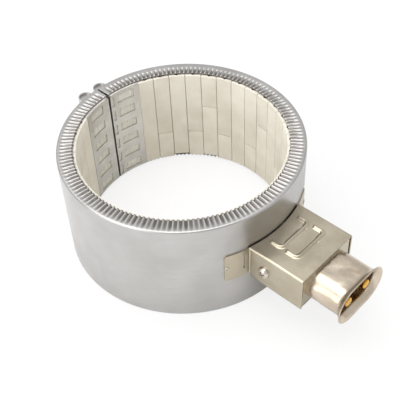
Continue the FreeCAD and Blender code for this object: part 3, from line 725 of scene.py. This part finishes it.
def boxSide(side):
    t = box["sheet"]
    outer = wallFace
    bendX, tabRadius = outer + box["bend"] - t / 2, outerRadius + t
    bendY = -math.sqrt((tabRadius + box["bend"] - t / 2) ** 2 - bendX ** 2)
    touch = math.degrees(math.atan2(bendY, bendX))
    path = [(outer, bodyLow.y + (bendY - bodyLow.y) * i / 6, "wall") for i in range(6)]
    turns = [180 - (180 - (touch + 180)) * i / 6 for i in range(7)]
    inner = box["bend"] - t / 2
    path += [(bendX + inner * math.cos(math.radians(a)), bendY + inner * math.sin(math.radians(a)), "bend")
             for a in turns]
    tabTurns = [touch + (box["tabEnd"] - 90 - touch) * (1 - (1 - i / 18) ** 1.6) for i in range(1, 19)]
    slit = [box["slitAngle"] - 90 + k * math.degrees(box["slitWidth"] / 2 / outerRadius) for k in (-1, 1)]
    tabTurns = sorted(tabTurns + slit)
    path += [(*polar(tabRadius, math.radians(a)), "tab") for a in tabTurns]
    top = bodyTop
    slitLow, slitHigh = bodyLow.z + box["slitRise"], top - box["slitHead"] + box["sheet"]
    mesh = bmesh.new()
    columns = []
    for i, (x, y, part) in enumerate(path):
        low, high = bodyLow.z, top
        if part != "wall":
            low, high = low + box["tabInset"], high - box["tabTop"]
        if part == "tab":
            left = math.radians(box["tabEnd"] - 90 - math.degrees(math.atan2(y, x))) * tabRadius
            short = max(0.0, box["corner"] - left)
            pull = box["corner"] - math.sqrt(box["corner"] ** 2 - min(short, box["corner"]) ** 2)
            low, high = low + pull, high - pull
        columns.append([mesh.verts.new((side * x, y, z)) for z in (low, slitLow, slitHigh, high)])
    for a, b in zip(columns, columns[1:]):
        for i in range(3):
            middle = math.degrees(math.atan2((a[0].co.y + b[0].co.y) / 2,
                                             side * (a[0].co.x + b[0].co.x) / 2))
            if i == 1 and slit[0] < middle < slit[1] and math.hypot(a[0].co.x, a[0].co.y) < tabRadius + 0.01:
                continue
            face = (a[i], b[i], b[i + 1], a[i + 1])
            mesh.faces.new(face if side > 0 else face[::-1])
    return mesh


def buildBoxBody():
    mesh = boxFloor()
    t = box["sheet"]
    half, top = wallFace, bodyTop - box["endDrop"]
    corners = [(-half, bodyLow.y, bodyLow.z), (half, bodyLow.y, bodyLow.z), (half, bodyLow.y, top),
               (-half, bodyLow.y, top)]
    joinMesh(mesh, wallPlate(corners, stadium(socket["width"], socket["height"], bodyLow.y, socketMiddle)))
    joinMesh(mesh, boxSide(1))
    joinMesh(mesh, boxSide(-1))
    piece = finishPiece("terminalBox", mesh, boxNickel, "box_body", smooth=35)
    addSolidify(piece, t)
    addBevel(piece, 0.12)


# box cover: one sheet folded over the box, two ribs pressed in its top

cover = {"sheet": 0.8, "fold": 0.9, "step": 0.55, "edgeGap": 0.7, "skirtRadius": 79.4, "ribSetback": 13.9,
         "ribSpacing": 11.5, "ribLength": 25.4, "ribArm": 4.5, "ribCorner": 2.5, "ribHeight": 1.1,
         "ribWidth": 1.15,
         "ribCentre": 1.5}


def ribDistance(x, y, reach):
    # distance from the middle line of one rib: a straight run, two corners, two arms towards the band
    across = abs(x - cover["ribCentre"])
    half, corner = cover["ribLength"] / 2, cover["ribCorner"]
    up = y + reach
    if across > half - corner and up < corner:
        return abs(math.hypot(across - (half - corner), up - corner) - corner)
    if up < corner:
        return abs(up)
    if up < corner + cover["ribArm"]:
        return min(abs(across - half), abs(up) if across < half - corner else 99)
    return math.hypot(across - half, up - corner - cover["ribArm"])


def ribRise(x, y):
    rise = 0.0
    for reach in (-coverBox[0].y - cover["ribSetback"] + 0.5,
                  -coverBox[0].y - cover["ribSetback"] + 0.5 - cover["ribSpacing"]):
        near = ribDistance(x, y, reach) / cover["ribWidth"]
        if near < 1:
            rise = max(rise, math.sqrt(1 - near * near))
    return rise * cover["ribHeight"]


def coverPath(s):
    # s runs across the flat blank from its middle; gives x, z and whether it lies on the top
    half, fold, top = coverBox[1].x, cover["fold"], coverTop
    flat = half - fold
    bend = fold * math.pi / 2
    way = abs(s)
    if way <= flat:
        return s, top, True
    if way <= flat + bend:
        turn = (way - flat) / fold
        return math.copysign(flat + fold * math.sin(turn), s), top - fold + fold * math.cos(turn), False
    return math.copysign(half, s), top - fold - (way - flat - bend), False


def buildBoxCover():
    low, high = coverBox
    fold = cover["fold"]
    reach = high.x - fold + fold * math.pi / 2 + coverTop - fold - low.z
    mesh = bmesh.new()
    across = int(2 * reach / cover["step"])
    along = int((coverBandEnd - low.y) / cover["step"])
    bmesh.ops.create_grid(mesh, x_segments=across, y_segments=along, size=0.5)
    for vert in mesh.verts:
        s, share = vert.co.x * 2 * reach, vert.co.y + 0.5
        x, z, onTop = coverPath(s)
        band = outerRadius + cover["edgeGap"]
        end = -math.sqrt(band ** 2 - x * x)
        if z < coverTop - fold:
            end = -math.sqrt(cover["skirtRadius"] ** 2 - x * x)
        y = low.y + share * (end - low.y)
        if onTop:
            z += ribRise(x, y)
        vert.co = (x, y, z)
    if sum(f.normal.z for f in mesh.faces) < 0:
        bmesh.ops.reverse_faces(mesh, faces=mesh.faces)
    piece = finishPiece("boxCover", mesh, boxNickel, "box_cover", smooth=50)
    addSolidify(piece, cover["sheet"])


# socket shell: deep-drawn oval with a flared mouth, a little dented

socket = {"width": 36, "height": 20, "sheet": 0.8, "flare": 3.4, "flareLength": 4.0, "flareStart": 0.35,
          "steps": 22, "dent": 0.3, "dentSize": 9, "plateFlange": 2.5}


def buildSocket():
    mouth, back = socketLow.y, bodyLow.y + box["sheet"]
    straight = mouth + socket["flareLength"]
    rows = [(back + (straight - back) * i / socket["steps"], 0) for i in range(socket["steps"] + 1)]
    for i in range(1, 8):
        share = i / 7
        rows.append((straight - socket["flareLength"] * share, share ** 2.2 * 0.95 + 0.05 * share))
    mesh = bmesh.new()
    previous = None
    for y, share in rows:
        spread = 2 * socket["flare"] * share
        points = stadium(socket["width"] + spread, socket["height"] + spread, y, socketMiddle)
        edges = loop(mesh, points)
        if previous:
            bmesh.ops.bridge_loops(mesh, edges=previous + edges)
        previous = edges
    centre = Vector((0, 0, socketMiddle))
    for vert in mesh.verts:
        away = Vector((vert.co.x, 0, vert.co.z - socketMiddle)).normalized()
        fade = min(1.0, max(0.0, (back - vert.co.y) / 6))
        bump = noise.noise(Vector(vert.co) / socket["dentSize"] + centre)
        vert.co += away * bump * socket["dent"] * fade
    bmesh.ops.recalc_face_normals(mesh, faces=mesh.faces)
    if sum(f.normal.dot(f.calc_center_median() - Vector((0, f.calc_center_median().y, socketMiddle)))
           for f in mesh.faces) < 0:
        bmesh.ops.reverse_faces(mesh, faces=mesh.faces)
    halfWidth, halfHeight = socket["width"] / 2 + socket["plateFlange"], socket["height"] / 2
    corners = [(-halfWidth, back, socketMiddle - halfHeight), (halfWidth, back, socketMiddle - halfHeight),
               (halfWidth, back, socketMiddle + halfHeight), (-halfWidth, back, socketMiddle + halfHeight)]
    inset = 2 * socket["sheet"]
    hole = stadium(socket["width"] - inset, socket["height"] - inset, back, socketMiddle)
    joinMesh(mesh, wallPlate(corners, hole))
    piece = finishPiece("socketShell", mesh, socketNickel, "socket_shell", smooth=50)
    addSolidify(piece, socket["sheet"])
    addBevel(piece, 0.2, segments=2)


buildBoxBody()
buildBoxCover()
buildSocket()
print("terminal box built")

# contact pins: turned, with a rounded tip and a collar on the ceramic

pin = {"radius": 3.0, "tip": 0.9, "collar": 4.0, "collarLength": 1.2, "face": 121.2, "shank": 2.5,
       "back": 104.2,
       "tail": 2.0, "tailLength": 8.0}


def buildPin(node, word):
    low, high = nodeBox(node)
    x, z = (low.x + high.x) / 2, (low.z + high.z) / 2
    length = high.y - low.y
    collarEnd = pin["tailLength"] + pin["face"] - pin["back"]
    tip = arcPoints(length - pin["tip"], pin["radius"] - pin["tip"], pin["tip"], 90, 0, 5)
    profile = [(0, 0), (0, pin["tail"] - 0.3), (0.3, pin["tail"]), (pin["tailLength"], pin["tail"]),
               (pin["tailLength"], pin["shank"]), (collarEnd, pin["shank"]),
               (collarEnd, pin["collar"] - 0.2),
               (collarEnd + 0.2, pin["collar"]), (collarEnd + pin["collarLength"] - 0.2, pin["collar"]),
               (collarEnd + pin["collarLength"], pin["collar"] - 0.2),
               (collarEnd + pin["collarLength"], pin["radius"])]
    mesh = lathe(profile + tip + [(length, 0)], 40, (x, high.y, z), (0, -1, 0))
    finishPiece(word + "ContactPin", mesh, pinBrass, node, smooth=35)


buildPin("contact_pin_left", "left")
buildPin("contact_pin_right", "right")

# cover screws: pan heads with a cross recess

panHead = {"radius": 4.0, "height": 2.6, "shank": 2.0, "length": 7.0, "crossWidth": 1.0, "crossSpan": 4.6,
           "crossDepth": 1.3}


def buildCoverScrews():
    low, high = nodeBox("cover_screws")
    y, z = (low.y + high.y) / 2, (low.z + high.z) / 2
    radius, height = panHead["radius"], panHead["height"]
    mesh = bmesh.new()
    for side in (-1, 1):
        face = coverBox[1].x
        dome = [(face + height * math.sqrt(max(0.0, 1 - (r / radius) ** 3)), r) for r in
                [radius * math.sin(math.radians(90) * i / 22) for i in range(22, -1, -1)]]
        profile = [(face - panHead["length"], 0), (face - panHead["length"], panHead["shank"]),
                   (face, panHead["shank"]), (face, radius)] + dome
        turned = lathe(profile, 72, (0, y, z), (1, 0, 0))
        for vert in turned.verts:
            a, b = abs(vert.co.y - y), abs(vert.co.z - z)
            inCross = min(a, b) < panHead["crossWidth"] / 2 and max(a, b) < panHead["crossSpan"] / 2
            if inCross and vert.co.x > face + 0.3:
                vert.co.x -= panHead["crossDepth"] * (1 - max(a, b) / panHead["crossSpan"])
        turn = Matrix.Rotation(math.radians(24), 4, "X")
        bmesh.ops.rotate(turned, verts=turned.verts, cent=(0, y, z), matrix=turn)
        if side < 0:
            bmesh.ops.rotate(turned, verts=turned.verts, cent=(0, y, z),
                             matrix=Matrix.Rotation(math.pi, 4, "Z"))
        joinMesh(mesh, turned)
    finishPiece("coverScrews", mesh, screwSteel, "cover_screws", smooth=35)


# tab rivets: tubular, rolled over on the tab

rivet = {"angle": 27.8, "radius": 1.6, "hole": 0.7, "rise": 0.5, "depth": 2.1}


def buildRivets():
    low, high = nodeBox("tab_rivets")
    level = (low.z + high.z) / 2
    foot = outerRadius + box["sheet"]
    turn = math.radians(rivet["angle"])
    mesh = bmesh.new()
    ringMiddle = (rivet["radius"] + rivet["hole"]) / 2
    ringHalf = (rivet["radius"] - rivet["hole"]) / 2
    crown = [(rivet["rise"] * math.sin(math.radians(a)), ringMiddle + ringHalf * math.cos(math.radians(a)))
             for a in range(0, 181, 20)]
    profile = [(-rivet["depth"], 0), (-rivet["depth"], 1.2), (0, 1.2)] + crown + [(-0.6, rivet["hole"]),
                                                                                  (-0.6, 0)]
    for side in (-1, 1):
        x, y = polar(foot, -math.pi / 2 + side * turn)
        joinMesh(mesh, lathe(profile, 32, (x, y, level), (x, y, 0)))
    finishPiece("tabRivets", mesh, screwSteel, "tab_rivets", smooth=35)


buildCoverScrews()
buildRivets()
print("small parts built")

# pieces hidden inside, and plain turned ones, keep their frame shapes

keptFinishes = {
    "insulation_blanket": blanketFelt, "heating_coil": coilWire, "lead_wires": leadSleeve,
    "clamp_bar_left": barSteel, "clamp_bar_right": barSteel,
    "clamp_washer_lower": screwSteel, "clamp_washer_upper": screwSteel,
    "socket_insulator": socketCeramic, "pin_nuts": pinBrass,
}
for name, material in keptFinishes.items():
    data = frame["nodes"][name].data
    data.materials.clear()
    data.materials.append(material)

# floor, lights and camera

studio = {"floorSize": 3.0, "world": 0.75}


def buildStudio():
    floor = bmesh.new()
    bmesh.ops.create_grid(floor, x_segments=1, y_segments=1, size=studio["floorSize"])
    bmesh.ops.translate(floor, verts=floor.verts, vec=(0, 0, sheathLow.z * mm))
    data = bpy.data.meshes.new("studioFloor")
    floor.to_mesh(data)
    floor.free()
    plane = bpy.data.objects.new("studioFloor", data)
    bpy.context.scene.collection.objects.link(plane)
    material = bpy.data.materials.new("whitePaper")
    material.use_nodes = True
    tree = material.node_tree
    shader = tree.nodes["Principled BSDF"]
    shader.inputs["Base Color"].default_value = hexColour("#f4f4f4")
    shader.inputs["Roughness"].default_value = 1.0
    ray = addNode(tree, "ShaderNodeLightPath")
    seen = addNode(tree, "ShaderNodeMath", {0: ray.outputs["Is Camera Ray"], 1: 0.75}, operation="MULTIPLY")
    glow = addNode(tree, "ShaderNodeEmission", {"Color": (1, 1, 1, 1), "Strength": 1.0})
    mix = addNode(tree, "ShaderNodeMixShader",
                  {0: seen.outputs[0], 1: shader.outputs[0], 2: glow.outputs[0]})
    tree.links.new(mix.outputs[0], tree.nodes["Material Output"].inputs["Surface"])
    data.materials.append(material)


def addLamp(name, place, target, size, power, colour="#ffffff"):
    lamp = bpy.data.lights.new(name, "AREA")
    lamp.shape = "RECTANGLE"
    lamp.size, lamp.size_y = size
    lamp.energy = power
    lamp.color = hexColour(colour)[:3]
    holder = bpy.data.objects.new(name, lamp)
    bpy.context.scene.collection.objects.link(holder)
    holder.location = place
    holder.rotation_euler = (Vector(target) - Vector(place)).to_track_quat("-Z", "Y").to_euler()


def buildLights():
    addLamp("topSoftbox", (-0.1, 0.2, 1.1), (0, 0, 0), (1.2, 1.2), 9)
    addLamp("leftSoftbox", (-1.1, 0.1, 0.5), (0, 0, 0), (0.9, 0.9), 5)
    world = bpy.data.worlds.new("studioWorld")
    bpy.context.scene.world = world
    world.use_nodes = True
    tree = world.node_tree
    tree.nodes.clear()
    ray = addNode(tree, "ShaderNodeLightPath")
    plain = addNode(tree, "ShaderNodeBackground", {"Color": (1, 1, 1, 1), "Strength": studio["world"]})
    white = addNode(tree, "ShaderNodeBackground", {"Color": (1, 1, 1, 1), "Strength": 1.0})
    mix = addNode(tree, "ShaderNodeMixShader", {0: ray.outputs["Is Camera Ray"], 1: plain.outputs[0],
                                                2: white.outputs[0]})
    addNode(tree, "ShaderNodeOutputWorld", {"Surface": mix.outputs[0]})


view = {"place": (-270.54, -281.24, 388.26), "turn": (43.883, 2.043, -47.422), "lens": 76.7}


def buildCamera():
    camera = bpy.data.cameras.new("studioCamera")
    camera.lens = view["lens"]
    camera.sensor_width = 36
    camera.clip_start = 0.01
    holder = bpy.data.objects.new("studioCamera", camera)
    bpy.context.scene.collection.objects.link(holder)
    holder.location = [v * mm for v in view["place"]]
    holder.rotation_euler = [math.radians(v) for v in view["turn"]]
    bpy.context.scene.camera = holder


buildStudio()
buildLights()
buildCamera()
bpy.context.scene.view_settings.view_transform = "Standard"
print("studio built")
